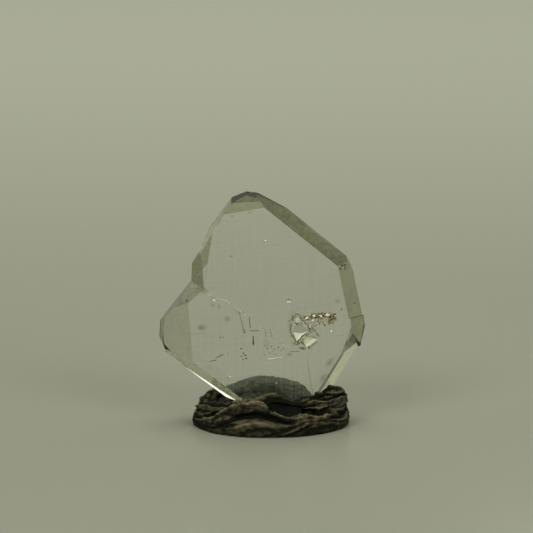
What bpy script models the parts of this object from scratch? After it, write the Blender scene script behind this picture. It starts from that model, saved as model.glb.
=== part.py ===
"""A small Japan law twin of quartz, standing upright in the lump of putty that holds it.

Two flattened crystals share their broad prism face and lean apart by the Japan law's angle of 84.55 degrees.
Each crystal is made the way a crystallographer describes it: a block is cut flat along every face, and a face
is given by the way it looks in the plate's plane, by its tilt out of that plane, and by its distance from the
crystal's centre. Sizes are in millimetres, and turned into Blender's metres where a mesh is made.

Frame: +Z is up, -Y is the side that the viewer sees, and the origin is under the middle of the whole object,
on the surface that it stands on.
"""

import math

import bmesh
import bpy
from mathutils import Matrix, Vector

MM = 0.001

# Angles of quartz and of the twin, in degrees.
TWIN_ANGLE = 84.55
LARGE_AXIS = 100.2
SMALL_AXIS = LARGE_AXIS + TWIN_ANGLE
POINT_EDGE = 47.73
PRISM_TILT = 30.0
POINT_TILT = 23.14
CAP_TILT = 51.79

# The large crystal: its centre in the plate's plane, and how far its broad faces lie in front and behind.
LARGE_CENTRE = (1.5, 12.5)
LARGE_HALF = (2.25, 2.25)

# The small crystal is a little thinner, which leaves a low step along the seam.
SMALL_CENTRE = (-6.0, 8.5)
SMALL_HALF = (2.20, 2.22)

# The seam between the two on the broad face, from the notch at the left down to the base.
SEAM = (
    (-7.9, 14.66),
    (-5.7, 13.85),
    (-4.9, 13.00),
    (-3.7, 12.80),
    (-2.6, 11.95),
    (-1.5, 11.18),
    (0.0, 9.95),
    (1.7, 8.75),
    (2.6, 8.05),
    (4.3, 6.30),
    (4.9, 2.60),
    (5.2, -1.0),
)

# The putty, a lump that is kneaded from rolls. Each roll runs around the putty's centre.
PUTTY_CENTRE = (0.85, -0.40)
POCKET_GAP = 0.32
PUTTY_VOXEL = 0.28
PUTTY_KEPT = 0.34

# Everything is worked out around the plate's middle, then set back so that the origin is under the whole's middle.
SET_BACK = 0.5

STOCK = 60.0


def direction(angle, tilt):
    """Outward direction of a face: angle is in the plate's plane from +X towards +Z, tilt is towards the viewer."""
    turn, lean = math.radians(angle), math.radians(tilt)
    return Vector((math.cos(lean) * math.cos(turn), -math.sin(lean), math.cos(lean) * math.sin(turn)))


def cut_flat(bm, normal, point):
    """Takes away what lies beyond a plane and closes the solid with one flat face."""
    everything = bm.verts[:] + bm.edges[:] + bm.faces[:]
    bmesh.ops.bisect_plane(bm, geom=everything, dist=1e-8, plane_co=point, plane_no=normal, clear_outer=True)
    rim = [edge for edge in bm.edges if edge.is_boundary]
    if rim:
        bmesh.ops.contextual_create(bm, geom=rim)


def crystal(name, centre, half, faces, grow=0.0):
    """A convex crystal cut from a block. faces holds (angle, tilt, reach); reach is taken half way through."""
    bm = bmesh.new()
    bmesh.ops.create_cube(bm, size=STOCK * MM)
    middle = Vector((centre[0], 0.0, centre[1]))
    bmesh.ops.translate(bm, verts=bm.verts, vec=middle * MM)
    for side, depth in zip((-1.0, 1.0), half):
        normal = Vector((0.0, side, 0.0))
        cut_flat(bm, normal, (middle + normal * (depth + grow)) * MM)
    for angle, tilt, reach in faces:
        normal = direction(angle, tilt)
        foot = middle + normal * (reach * math.cos(math.radians(tilt)) + grow)
        cut_flat(bm, normal, foot * MM)
    bmesh.ops.recalc_face_normals(bm, faces=bm.faces)
    return new_object(name, bm)


def new_object(name, bm):
    """Turns the shape into an object, set back into its place."""
    bmesh.ops.translate(bm, verts=bm.verts, vec=(0.0, SET_BACK * MM, 0.0))
    mesh = bpy.data.meshes.new(name)
    bm.to_mesh(mesh)
    bm.free()
    made = bpy.data.objects.new(name, mesh)
    bpy.context.scene.collection.objects.link(made)
    return made


def as_helper(made):
    """Marks an object as a cutter or a piece that a Boolean takes in: it is no part of the model by itself."""
    made.hide_render = True
    made.display_type = "WIRE"
    return made


def combine(target, operation, helper, overlapping=False):
    """Adds a Boolean modifier and hides its helper, whose own pieces may overlap each other."""
    modifier = target.modifiers.new(f"{operation.lower()}_{helper.name}", "BOOLEAN")
    modifier.operation = operation
    modifier.solver = "EXACT"
    modifier.use_self = overlapping
    modifier.object = as_helper(helper)


def pair(angles, tilt, reaches):
    """The front face and the back face that meet in a ridge along one side of the plate."""
    return [(angles[0], tilt, reaches[0]), (angles[1], -tilt, reaches[1])]


def large_faces():
    """Every face of the large crystal but its two broad ones."""
    faces = []
    # Upper right point faces, with the corner facet below them and the right prism faces.
    faces += pair((51.0, 50.6), POINT_TILT, (7.64, 7.79))
    faces.append((26.0, 5.0, 8.05))
    faces += pair((11.5, 11.9), PRISM_TILT, (7.93, 8.00))
    # Lower right point faces, and the lower left ones that the small crystal almost hides.
    faces += pair((329.6, 328.1), POINT_TILT, (9.25, 9.45))
    faces += pair((340.0, 340.0), 28.0, (9.20, 9.20))
    faces += pair((LARGE_AXIS + 180.0 - POINT_EDGE,) * 2, POINT_TILT, (10.80, 10.85))
    # Left prism faces, which are not quite parallel.
    faces += pair((184.3, 171.0), PRISM_TILT, (8.46, 8.72))
    # Upper left: narrow point faces, and between them a steep worn side in two stretches.
    faces += pair((151.1, 148.0), POINT_TILT, (10.05, 9.98))
    faces.append((143.1, 0.0, 9.62))
    faces.append((152.5, 0.0, 9.26))
    # The cap faces of the point, front and back.
    faces += pair((LARGE_AXIS, LARGE_AXIS), CAP_TILT, (12.60, 13.40))
    # The broken tip: a slanting break in front, and three short stretches behind it.
    faces.append((96.0, 20.0, 10.96))
    faces.append((113.9, 0.0, 10.92))
    faces.append((82.0, 0.0, 10.02))
    faces.append((67.5, 0.0, 8.82))
    # The broken base, down in the putty.
    faces.append((266.0, 0.0, 10.95))
    return faces


def small_faces():
    """Every face of the small crystal but its two broad ones."""
    faces = []
    # Upper point faces, which widen towards the notch, with a worn side between them.
    faces += pair((132.0, 146.0), POINT_TILT, (4.83, 5.00))
    faces.append((141.2, 0.0, 4.30))
    # The cap faces at the left end, with the two facets of the blunt tip.
    faces += pair((SMALL_AXIS, SMALL_AXIS), CAP_TILT, (3.86, 6.10))
    faces.append((175.0, 14.0, 3.95))
    faces.append((199.2, 9.0, 3.88))
    # Lower point faces, with a sliver of a third face along their ridge.
    faces += pair((232.3, 228.1), 25.0, (3.13, 3.81))
    faces.append((234.1, 18.0, 3.257))
    # Where it runs into the large crystal, and its broken base.
    faces.append((40.0, 0.0, 7.50))
    faces.append((330.6, 0.0, 12.60))
    faces.append((268.0, 0.0, 7.15))
    return faces


def step_faces():
    """A thicker growth layer low on the right prism faces."""
    faces = [(4.6, 32.7, 8.568)]
    faces.append((11.5, -30.0, 8.03))
    faces.append((340.0, -12.0, 9.14))
    faces.append((88.0, 0.0, -1.32))
    faces.append((276.0, 0.0, 5.383))
    faces.append((200.0, 0.0, -6.0))
    return faces


def seam_cutter():
    """A block on the small crystal's side of the seam, as deep as both crystals."""
    bm = bmesh.new()
    far_side = ((-15.0, -4.0), (-15.0, 14.1))
    outline = [bm.verts.new((x * MM, -5.0 * MM, z * MM)) for x, z in (*SEAM, *far_side)]
    face = bm.faces.new(outline)
    grown = bmesh.ops.extrude_face_region(bm, geom=[face])
    corners = [item for item in grown["geom"] if isinstance(item, bmesh.types.BMVert)]
    bmesh.ops.translate(bm, verts=corners, vec=(0.0, 10.0 * MM, 0.0))
    bmesh.ops.recalc_face_normals(bm, faces=bm.faces)
    return new_object("seam_cutter", bm)


def pit(bm, place, size, turn, depth, sides, side=-1.0):
    """Adds a tapered, flat-sided cutter to bm, sunk by depth into the front (-1) or back (1) broad face."""
    mouth = 0.3
    half = LARGE_HALF[0]
    made = bmesh.ops.create_cone(
        bm, cap_ends=True, segments=sides, radius1=0.42, radius2=0.5 * (1.0 + mouth), depth=depth + mouth
    )
    upright = Matrix.Rotation(math.radians(90.0 * -side), 4, "X")
    spun = Matrix.Rotation(math.radians(turn), 4, "Y")
    scaled = Matrix.Diagonal((size[0], size[1], 1.0, 1.0))
    centre = Vector((place[0], side * (half - depth + (depth + mouth) / 2.0), place[1]))
    place_it = Matrix.Translation(centre) @ spun @ upright @ scaled
    bmesh.ops.transform(bm, matrix=Matrix.Scale(MM, 4) @ place_it, verts=made["verts"])


def pits_cutter():
    """The pits where other minerals once sat, on the front face near the right, and smaller ones elsewhere."""
    bm = bmesh.new()
    pit(bm, (3.71, 9.55), (1.75, 1.95), 12.0, 0.42, 6)
    pit(bm, (4.66, 8.60), (1.62, 1.40), -4.0, 0.50, 4)
    pit(bm, (3.50, 10.78), (0.86, 0.86), 30.0, 0.26, 6)
    pit(bm, (4.71, 10.20), (0.40, 0.90), 28.0, 0.20, 5)
    crumbs = 9
    for index in range(crumbs):
        along = index / (crumbs - 1)
        place = (4.15 + 3.0 * along, 11.20 - 0.25 * math.sin(7.0 * along))
        pit(bm, place, (0.40, 0.34), 50.0 * index, 0.17 + 0.05 * math.sin(3.0 * index), 5)
    pit(bm, (2.64, 12.75), (0.62, 0.40), 0.0, 0.15, 8)
    pit(bm, (-4.95, 12.35), (0.40, 0.40), 0.0, 0.16, 8)
    pit(bm, (-3.1, 17.3), (0.36, 0.24), 40.0, 0.10, 8)
    pit(bm, (6.87, 9.69), (0.50, 0.26), -20.0, 0.12, 6)
    pit(bm, (-3.4, 4.3), (0.50, 0.34), -30.0, 0.14, 8, side=1.0)
    pit(bm, (0.2, 18.2), (0.46, 0.34), 20.0, 0.12, 8, side=1.0)
    return new_object("pits_cutter", bm)


def chips_cutter():
    """Rounded cutters that bite shell-shaped chips out of the edges."""
    bm = bmesh.new()
    for place, radius in (
        ((8.45, -1.85, 17.0), 0.90),
        ((9.20, -1.25, 16.1), 0.70),
        ((1.35, -2.15, 23.0), 0.70),
        ((-10.45, -1.3, 10.9), 0.50),
        ((-1.2, 1.6, 24.3), 1.40),
    ):
        ball = bmesh.ops.create_icosphere(bm, subdivisions=2, radius=radius * MM)
        bmesh.ops.translate(bm, verts=ball["verts"], vec=Vector(place) * MM)
    return new_object("chips_cutter", bm)


def quartz_twin():
    """The two crystals grown together into one solid."""
    twin = crystal("quartz_twin", LARGE_CENTRE, LARGE_HALF, large_faces())
    combine(twin, "DIFFERENCE", seam_cutter())
    combine(twin, "UNION", crystal("small_crystal", SMALL_CENTRE, SMALL_HALF, small_faces()))
    combine(twin, "UNION", crystal("growth_step", LARGE_CENTRE, (2.23, 2.22), step_faces()))
    combine(twin, "DIFFERENCE", pits_cutter(), overlapping=True)
    combine(twin, "DIFFERENCE", chips_cutter(), overlapping=True)
    return twin


def curve_through(stations, position, closed):
    """Smooth values at a position along a row of stations. A whole number is a station itself."""
    count = len(stations)
    index = math.floor(position)
    part = position - index
    near = []
    for step in (-1, 0, 1, 2):
        place = index + step
        if closed:
            turns, place = divmod(place, count)
            station = (stations[place][0] + 360.0 * turns, *stations[place][1:])
        else:
            station = stations[min(max(place, 0), count - 1)]
        near.append(station)
    values = []
    for before, start, end, after in zip(*near):
        bend = (2.0 * before - 5.0 * start + 4.0 * end - after) * part
        curl = (3.0 * start - before - 3.0 * end + after) * part * part
        values.append(start + 0.5 * part * (end - before + bend + curl))
    return values


def roll(bm, stations, closed=False, sides=12, steps=6):
    """A roll of putty. A station is (angle, radius, height, half width, half height), angle 0 being in front."""
    spans = len(stations) if closed else len(stations) - 1
    rings = []
    for number in range(spans * steps + (0 if closed else 1)):
        angle, radius, height, wide, high = curve_through(stations, number / steps, closed)
        turn = math.radians(angle)
        ring = []
        for side in range(sides):
            around = math.tau * side / sides
            reach = radius + wide * math.cos(around)
            x = PUTTY_CENTRE[0] + reach * math.sin(turn)
            y = PUTTY_CENTRE[1] - reach * math.cos(turn)
            ring.append(bm.verts.new((x * MM, y * MM, (height + high * math.sin(around)) * MM)))
        rings.append(ring)
    pairs = list(zip(rings, rings[1:]))
    if closed:
        pairs.append((rings[-1], rings[0]))
    for first, second in pairs:
        for side in range(sides):
            after = (side + 1) % sides
            bm.faces.new((first[side], first[after], second[after], second[side]))
    if not closed:
        bm.faces.new(rings[0])
        bm.faces.new(rings[-1])


def lump(bm, place, size):
    """A rounded lump of putty."""
    ball = bmesh.ops.create_icosphere(bm, subdivisions=3, radius=1.0)
    centre = Vector((PUTTY_CENTRE[0] + place[0], PUTTY_CENTRE[1] + place[1], place[2]))
    shape = Matrix.Translation(centre * MM) @ Matrix.Diagonal((*(Vector(size) * MM), 1.0))
    bmesh.ops.transform(bm, matrix=shape, verts=ball["verts"])


def putty_rolls():
    """The putty before it is fused: a core, with rolls and lumps laid around it and over each other."""
    bm = bmesh.new()
    lump(bm, (0.0, 0.0, 0.6), (6.6, 6.4, 2.0))
    # The body, which spreads on the surface below.
    body = (
        (-90, 6.15, 0.35, 1.75, 1.30),
        (-50, 6.30, 0.35, 1.60, 1.15),
        (-25, 6.15, 0.50, 1.60, 1.50),
        (0, 5.90, 0.55, 1.60, 1.60),
        (40, 6.15, 0.50, 1.60, 1.35),
        (90, 6.30, 0.60, 1.65, 1.60),
        (135, 6.00, 0.60, 1.60, 1.55),
        (180, 5.75, 0.60, 1.60, 1.50),
        (225, 6.00, 0.50, 1.60, 1.45),
    )
    roll(bm, body, closed=True)
    # The middle roll: low at the left, high in front, and running out at the right.
    middle = (
        (-104, 5.90, 0.95, 0.60, 0.40),
        (-76, 6.10, 0.75, 1.15, 0.55),
        (-53, 5.75, 0.90, 1.30, 0.80),
        (-38, 5.50, 1.55, 1.35, 0.98),
        (-12, 5.30, 2.15, 1.45, 1.08),
        (5, 5.60, 1.35, 1.20, 0.62),
        (24, 6.10, 1.10, 0.80, 0.45),
        (44, 6.30, 1.10, 0.30, 0.25),
    )
    roll(bm, middle)
    # The collar, pressed up against the crystal, higher behind it.
    collar = (
        (-62, 5.00, 1.90, 1.20, 0.80),
        (-30, 3.75, 2.15, 1.20, 0.85),
        (3, 3.30, 2.70, 1.15, 0.88),
        (22, 3.50, 2.55, 1.00, 0.80),
        (45, 4.20, 2.10, 1.00, 0.80),
        (56, 4.75, 2.15, 1.05, 0.90),
        (67, 5.45, 2.50, 1.20, 1.20),
        (80, 6.25, 2.60, 1.40, 1.48),
        (100, 6.30, 1.90, 1.35, 1.30),
        (116, 5.80, 1.05, 1.30, 1.15),
        (130, 5.20, 1.15, 1.30, 1.10),
        (142, 4.60, 2.25, 1.30, 1.30),
        (168, 3.75, 2.90, 1.35, 1.28),
        (196, 3.80, 3.05, 1.35, 1.28),
        (216, 4.55, 2.70, 1.30, 1.25),
        (232, 5.60, 2.05, 1.25, 1.20),
        (250, 6.15, 1.70, 1.20, 1.15),
        (270, 6.20, 1.30, 1.10, 0.90),
    )
    roll(bm, collar, closed=True)
    # The thin end that is folded over at the left.
    fold = (
        (-112, 6.20, 1.75, 0.40, 0.25),
        (-90, 6.65, 1.62, 0.80, 0.33),
        (-66, 6.25, 1.65, 0.90, 0.36),
        (-46, 5.20, 2.00, 0.50, 0.30),
    )
    roll(bm, fold)
    bmesh.ops.recalc_face_normals(bm, faces=bm.faces)
    return new_object("putty", bm)


def floor_cutter():
    """Everything below the surface that the putty stands on."""
    bm = bmesh.new()
    deep = 6.0
    bmesh.ops.create_cube(bm, size=1.0)
    size = Vector((40.0, 40.0, deep)) * MM
    bmesh.ops.transform(bm, verts=bm.verts, matrix=Matrix.Diagonal((*size, 1.0)))
    bmesh.ops.translate(bm, verts=bm.verts, vec=(0.0, 0.0, -deep / 2.0 * MM))
    return new_object("floor_cutter", bm)


def putty():
    """The lump of putty, fused from its sheets, flat underneath, with the crystal's pocket pressed into it."""
    made = putty_rolls()
    fuse = made.modifiers.new("fuse", "REMESH")
    fuse.mode = "VOXEL"
    fuse.voxel_size = PUTTY_VOXEL * MM
    smooth = made.modifiers.new("smooth", "SMOOTH")
    smooth.factor = 0.5
    smooth.iterations = 1
    thin = made.modifiers.new("thin", "DECIMATE")
    thin.ratio = PUTTY_KEPT
    combine(made, "DIFFERENCE", floor_cutter())
    large = crystal("pocket_large", LARGE_CENTRE, LARGE_HALF, large_faces(), POCKET_GAP)
    small = crystal("pocket_small", SMALL_CENTRE, SMALL_HALF, small_faces(), POCKET_GAP)
    combine(made, "DIFFERENCE", large)
    combine(made, "DIFFERENCE", small)
    return made


def finish(made, colour, roughness, alpha=1.0, transmission=0.0):
    """Gives an object its own plain material."""
    material = bpy.data.materials.new(made.name)
    material.use_nodes = True
    shader = material.node_tree.nodes["Principled BSDF"]
    shader.inputs["Base Color"].default_value = (*colour, 1.0)
    shader.inputs["Roughness"].default_value = roughness
    shader.inputs["Metallic"].default_value = 0.0
    shader.inputs["Transmission Weight"].default_value = transmission
    shader.inputs["Alpha"].default_value = alpha
    made.data.materials.append(material)


def main():
    for old in list(bpy.data.objects):
        bpy.data.objects.remove(old)
    finish(quartz_twin(), (0.86, 0.88, 0.82), 0.03, transmission=1.0)
    finish(putty(), (0.085, 0.075, 0.048), 0.75)


if __name__ == "__main__":
    main()
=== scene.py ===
"""Dresses the quartz twin and its putty: clear quartz, iron stains, kneaded putty and a plain studio."""

import math

import bmesh
import bpy
from mathutils import Matrix, Vector, noise
from mathutils.bvhtree import BVHTree


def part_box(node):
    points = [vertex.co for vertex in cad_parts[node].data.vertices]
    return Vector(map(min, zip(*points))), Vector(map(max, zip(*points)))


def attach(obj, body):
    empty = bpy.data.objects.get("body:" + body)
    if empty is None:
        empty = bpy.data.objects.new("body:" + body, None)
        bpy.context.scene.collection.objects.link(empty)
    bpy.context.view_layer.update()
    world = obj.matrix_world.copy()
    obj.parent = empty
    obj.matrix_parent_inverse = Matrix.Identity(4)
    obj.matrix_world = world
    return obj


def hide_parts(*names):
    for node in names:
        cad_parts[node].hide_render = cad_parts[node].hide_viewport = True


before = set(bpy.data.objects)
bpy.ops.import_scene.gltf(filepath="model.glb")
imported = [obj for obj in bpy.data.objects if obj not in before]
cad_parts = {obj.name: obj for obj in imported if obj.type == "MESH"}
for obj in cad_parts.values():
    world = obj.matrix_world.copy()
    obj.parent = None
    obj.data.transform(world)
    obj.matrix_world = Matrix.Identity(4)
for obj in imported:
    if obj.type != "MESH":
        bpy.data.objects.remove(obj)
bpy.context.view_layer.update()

bl_info = {
    "name": "Quartz twin in putty",
    "version": (1, 0, 0),
    "blender": (4, 5, 0),
    "location": "View3D > Sidebar > Quartz",
    "description": "Dresses a Japan law quartz twin that stands in a lump of putty",
    "category": "Add Mesh",
}

MM = 0.001
# Two corners of the solids' loose triangles that lie closer than this, in metres, are one corner.
MERGE = 1e-6
# The broad faces and the putty's centre, in millimetres.
PLATE_MIDDLE_Y = 0.5
PLATE_HALF = 2.25
FRONT_Y = PLATE_MIDDLE_Y - PLATE_HALF
BACK_Y = PLATE_MIDDLE_Y + PLATE_HALF
PUTTY_CENTRE = (0.85, 0.10)
CAMERA_ELEVATION = math.radians(11.1)
# How deep stains and shadows reach back from the front face: on the broad face, and on the narrow faces.
STAIN_DEPTH = 1.6
SIDE_STAIN_DEPTH = 2.2
SIDE_SHADOW_DEPTH = 2.6


class Signal:
    """The output of a shader node, which can be used in sums."""

    def __init__(self, shader, socket):
        self.shader = shader
        self.socket = socket

    def _math(self, operation, first, second):
        return self.shader.add("ShaderNodeMath", {"operation": operation}, {0: first, 1: second})

    def __add__(self, other):
        return self._math("ADD", self, other)

    __radd__ = __add__

    def __rsub__(self, other):
        return self._math("SUBTRACT", other, self)

    def __mul__(self, other):
        return self._math("MULTIPLY", self, other)

    __rmul__ = __mul__

    def highest(self, other):
        return self._math("MAXIMUM", self, other)

    def lowest(self, other):
        return self._math("MINIMUM", self, other)


class Shader:
    """A material whose nodes are added one after another."""

    def __init__(self, name):
        self.material = bpy.data.materials.new(name)
        self.material.use_nodes = True
        self.tree = self.material.node_tree
        self.surface = self.tree.nodes["Principled BSDF"]
        self.output = self.tree.nodes["Material Output"]

    def put(self, socket, value):
        """Links a signal to a socket, or sets the socket to a plain value."""
        if isinstance(value, Signal):
            self.tree.links.new(value.socket, socket)
        elif hasattr(socket.default_value, "__len__") and len(socket.default_value) == 4 and len(value) == 3:
            socket.default_value = (*value, 1.0)
        else:
            socket.default_value = value

    def add(self, kind, settings=None, inputs=None, output=0):
        """Adds a node with its settings and the values or links of its sockets."""
        node = self.tree.nodes.new(kind)
        for name, value in (settings or {}).items():
            if name == "stops":
                ramp = node.color_ramp
                while len(ramp.elements) < len(value):
                    ramp.elements.new(0.5)
                for element, (place, colour) in zip(ramp.elements, value):
                    element.position = place
                    element.color = (*colour, 1.0)
            else:
                setattr(node, name, value)
        for name, value in (inputs or {}).items():
            self.put(node.inputs[name], value)
        return Signal(self, node.outputs[output])

    def place(self):
        """The point on the object, in metres."""
        return self.add("ShaderNodeTexCoord", output="Object")

    def shifted(self, scale=(1.0, 1.0, 1.0), centre=(0.0, 0.0, 0.0), turn=(0.0, 0.0, 0.0)):
        """The point, seen from a centre, turned and stretched."""
        return self.add(
            "ShaderNodeMapping",
            {"vector_type": "TEXTURE"},
            {
                "Vector": self.place(),
                "Location": tuple(c * MM for c in centre),
                "Rotation": tuple(math.radians(t) for t in turn),
                "Scale": tuple(MM * s for s in scale),
            },
        )

    def noise(self, size, detail, roughness, distortion=0.0, turn=(0.0, 0.0, 0.0)):
        """Soft noise whose clouds are about as large as size, in millimetres."""
        where = self.shifted(size, turn=turn)
        return self.add(
            "ShaderNodeTexNoise", {},
            {"Vector": where, "Scale": 1.0, "Detail": detail, "Roughness": roughness, "Distortion": distortion},
        )

    def ramp(self, value, *stops):
        """Follows the stops, each a place and a level."""
        grey = [(place, (level,) * 3) for place, level in stops]
        return self.add("ShaderNodeValToRGB", {"stops": grey}, {"Fac": value})

    def reach(self, centre, size, turn, depth):
        """Distance from a place on the front face, 1 at the rim of an oval of this size."""
        seen = self.shifted((size[0], depth, size[1]), (centre[0], FRONT_Y, centre[1]), (0.0, turn, 0.0))
        return self.add("ShaderNodeVectorMath", {"operation": "LENGTH"}, {0: seen}, output=1)

    def soft_step(self, value, zero, one):
        """Rises smoothly from 0 to 1 while the value goes from zero to one."""
        return self.add(
            "ShaderNodeMapRange", {"interpolation_type": "SMOOTHSTEP"},
            {"Value": value, "From Min": zero, "From Max": one, "To Min": 0.0, "To Max": 1.0},
        )

    def spots(self, rows, depth=STAIN_DEPTH):
        """The strongest of many soft ovals. A row is (place, size, turn, strength)."""
        total = None
        for centre, size, turn, strength in rows:
            one = self.soft_step(self.reach(centre, size, turn, depth), 1.0, 0.0) * strength
            total = one if total is None else total.highest(one)
        return total

    def blend(self, factor, first, second):
        """Mixes two colours."""
        return self.add("ShaderNodeMix", {"data_type": "RGBA"}, {0: factor, 6: first, 7: second}, output=2)

    def bump(self, height, strength, distance, below=None):
        """Fine relief, laid over another relief where one is given."""
        inputs = {"Height": height, "Strength": strength, "Distance": distance}
        if below is not None:
            inputs["Normal"] = below
        return self.add("ShaderNodeBump", {}, inputs)

    def finish(self, **inputs):
        """Sets the surface's sockets, named with underscores for spaces, and gives the material."""
        for name, value in inputs.items():
            self.put(self.surface.inputs[name.replace("_", " ")], value)
        return self.material

    def finish_mixed(self, factor, **inputs):
        """Lays a second surface over the first one, as far as the factor says."""
        above = self.add(
            "ShaderNodeBsdfPrincipled", {}, {name.replace("_", " "): value for name, value in inputs.items()}
        )
        below = Signal(self, self.surface.outputs[0])
        mixed = self.add("ShaderNodeMixShader", {}, {0: factor, 1: below, 2: above})
        self.tree.links.new(mixed.socket, self.output.inputs["Surface"])
        return self.material


def crystal_copy():
    """A copy of the crystal's solid in metres, with its loose triangles joined."""
    bm = bmesh.new()
    bm.from_mesh(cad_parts["quartz_twin"].data)
    bmesh.ops.remove_doubles(bm, verts=bm.verts, dist=MERGE)
    return bm


def named_object(name, bm, *materials):
    """Turns a shape in millimetres into an object in its place."""
    bmesh.ops.scale(bm, verts=bm.verts, vec=(MM, MM, MM))
    mesh = bpy.data.meshes.new(name)
    bm.to_mesh(mesh)
    bm.free()
    made = bpy.data.objects.new(name, mesh)
    bpy.context.scene.collection.objects.link(made)
    for material in materials:
        made.data.materials.append(material)
    return made


def part_of(made, node, replaced=False):
    """Makes a piece ride with the whole, and hides the solid that it replaces if it replaces one."""
    if replaced:
        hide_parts(node)
    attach(made, "root")


def bake_modifiers(made):
    """Replaces an object's mesh by what its modifiers make of it."""
    graph = bpy.context.evaluated_depsgraph_get()
    finished = bpy.data.meshes.new_from_object(made.evaluated_get(graph))
    made.modifiers.clear()
    made.data = finished


def subtract(made, helper):
    """Cuts a helper's shape out of an object and removes the helper."""
    cut = made.modifiers.new("cut", "BOOLEAN")
    cut.operation = "DIFFERENCE"
    cut.solver = "EXACT"
    cut.object = helper
    bake_modifiers(made)
    bpy.data.objects.remove(helper)


# Brown iron stain on the front face: place, half size, turn, strength.
IRON_STAINS = (
    ((2.9, 9.7), (0.5, 1.6), -8.0, 0.75),
    ((3.1, 11.2), (0.6, 0.7), 20.0, 0.75),
    ((3.4, 8.4), (0.6, 0.4), 0.0, 0.95),
    ((4.9, 9.8), (0.5, 0.5), 0.0, 0.80),
    ((5.5, 9.3), (0.5, 0.3), 35.0, 0.65),
    ((4.1, 7.9), (0.5, 0.3), 20.0, 0.80),
    ((5.6, 11.1), (2.0, 0.7), -4.0, 0.75),
    ((6.9, 10.9), (0.8, 0.7), 0.0, 0.95),
    ((-9.0, 10.8), (1.2, 1.0), 10.0, 0.24),
    ((-8.1, 9.6), (0.9, 0.9), 0.0, 0.20),
    ((-6.0, 10.0), (0.7, 0.5), 0.0, 0.72),
    ((-4.1, 9.0), (0.3, 0.3), 0.0, 0.50),
    ((-7.5, 7.8), (0.4, 0.3), 0.0, 0.50),
    ((-4.9, 12.8), (0.3, 0.3), 0.0, 0.60),
    ((-7.5, 12.8), (0.3, 0.3), 0.0, 0.80),
    ((-1.2, 21.7), (0.4, 0.3), 0.0, 0.45),
    ((8.1, 16.3), (0.8, 0.6), -40.0, 0.70),
    ((9.6, 11.7), (0.3, 1.1), 0.0, 0.70),
    ((9.2, 12.5), (0.3, 0.3), 0.0, 0.60),
    ((4.8, 18.9), (1.6, 0.5), 40.0, 0.45),
    ((-10.1, 11.6), (0.4, 0.6), 0.0, 0.70),
)
# Grey-green shadows inside the crystal, seen as soft dark patches.
GREY_BLURS = (
    ((-3.5, 10.9), (0.5, 0.4), 0.0, 0.80),
    ((-4.3, 12.2), (0.2, 0.5), -20.0, 0.60),
    ((-6.1, 10.0), (0.6, 0.4), 0.0, 0.35),
    ((-8.7, 8.0), (0.5, 0.4), 0.0, 0.35),
    ((6.7, 6.5), (0.9, 0.4), -52.0, 0.72),
    ((6.1, 4.9), (0.8, 0.4), -58.0, 0.72),
    ((2.7, 7.3), (0.4, 0.3), 0.0, 0.75),
    ((-2.4, 11.6), (0.8, 0.3), 10.0, 0.40),
    ((0.4, 8.4), (0.6, 0.9), -35.0, 0.30),
    ((7.5, 12.7), (0.5, 0.4), 0.0, 0.55),
    ((7.9, 11.9), (0.2, 0.2), 0.0, 0.70),
    ((-5.9, 13.8), (0.7, 0.5), 0.0, 0.80),
)
# Painted shadows on the narrow faces: below the notch, the left tip, the lower left edge, the lower right side
# and a spot at the top.
SIDE_SHADOWS = (
    ((-6.4, 14.0), (1.6, 1.0), 0.0, 1.00),
    ((-8.4, 12.2), (2.6, 0.5), -45.0, 0.95),
    ((-10.1, 9.3), (0.8, 2.4), 0.0, 1.00),
    ((-7.2, 5.4), (3.6, 0.8), 40.0, 1.00),
    ((7.7, 5.8), (3.4, 0.8), -58.0, 0.95),
    ((6.6, 3.6), (1.6, 1.2), -58.0, 0.95),
    ((1.3, 22.4), (0.6, 0.4), 40.0, 1.00),
)
# The iron stains' speckle, as stops from its palest to its darkest parts.
STAIN_SPECKLE = ((0.36, 0.25), (0.60, 1.0))
# Frosted places in the pits and chips: place, half size, turn, strength.
FROST_SPOTS = (
    ((3.5, 8.9), (0.8, 0.7), 20.0, 0.60),
    ((4.7, 8.5), (1.0, 0.7), 0.0, 0.60),
    ((3.5, 10.8), (0.4, 0.4), 0.0, 0.75),
    ((4.7, 10.2), (0.3, 0.5), 28.0, 0.70),
    ((2.6, 12.7), (0.4, 0.2), 0.0, 0.70),
    ((8.2, 16.4), (0.8, 0.6), -40.0, 0.55),
    ((5.7, 11.2), (1.9, 0.5), -4.0, 0.55),
)
# Growth streaks and ridges slope a little, by this turn.
GROWTH_SLOPE = (0.0, -10.0, 0.0)
CLEAR = (0.99, 0.99, 0.98)
GREY_BLUR = (0.10, 0.11, 0.07)
# The side faces' painted shade: what comes through them where it is lightest, and its yellower tone where it is
# darker.
SIDE_CLEAR = (0.98, 0.98, 0.96)
SIDE_YELLOW = (0.98, 0.98, 0.45)
PIT_CLEAR = (0.75, 0.76, 0.66)
PIT_STAIN = (0.62, 0.57, 0.40)


def quartz_tint(shader, settings):
    """The crystal's colour: almost none, with faint growth streaks, iron stains and painted grey shadows."""
    streaks = shader.noise((7.0, 30.0, 0.22), 2.0, 0.6, turn=GROWTH_SLOPE)
    upright = shader.noise((0.35, 30.0, 6.0), 2.0, 0.6)
    speckle = shader.noise((0.16, 0.16, 0.16), 2.0, 0.6)
    streaked = shader.ramp(streaks * 0.6 + upright * 0.4, (0.35, 0.0), (0.70, 1.0))
    colour = shader.blend(streaked, CLEAR, settings.streak)
    grey = shader.spots(GREY_BLURS) * shader.ramp(speckle, (0.25, 0.5), (0.6, 1.0))
    colour = shader.blend(grey, colour, GREY_BLUR)
    iron = shader.spots(IRON_STAINS) * shader.ramp(speckle, *STAIN_SPECKLE)
    return shader.blend(iron, colour, settings.iron)


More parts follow.
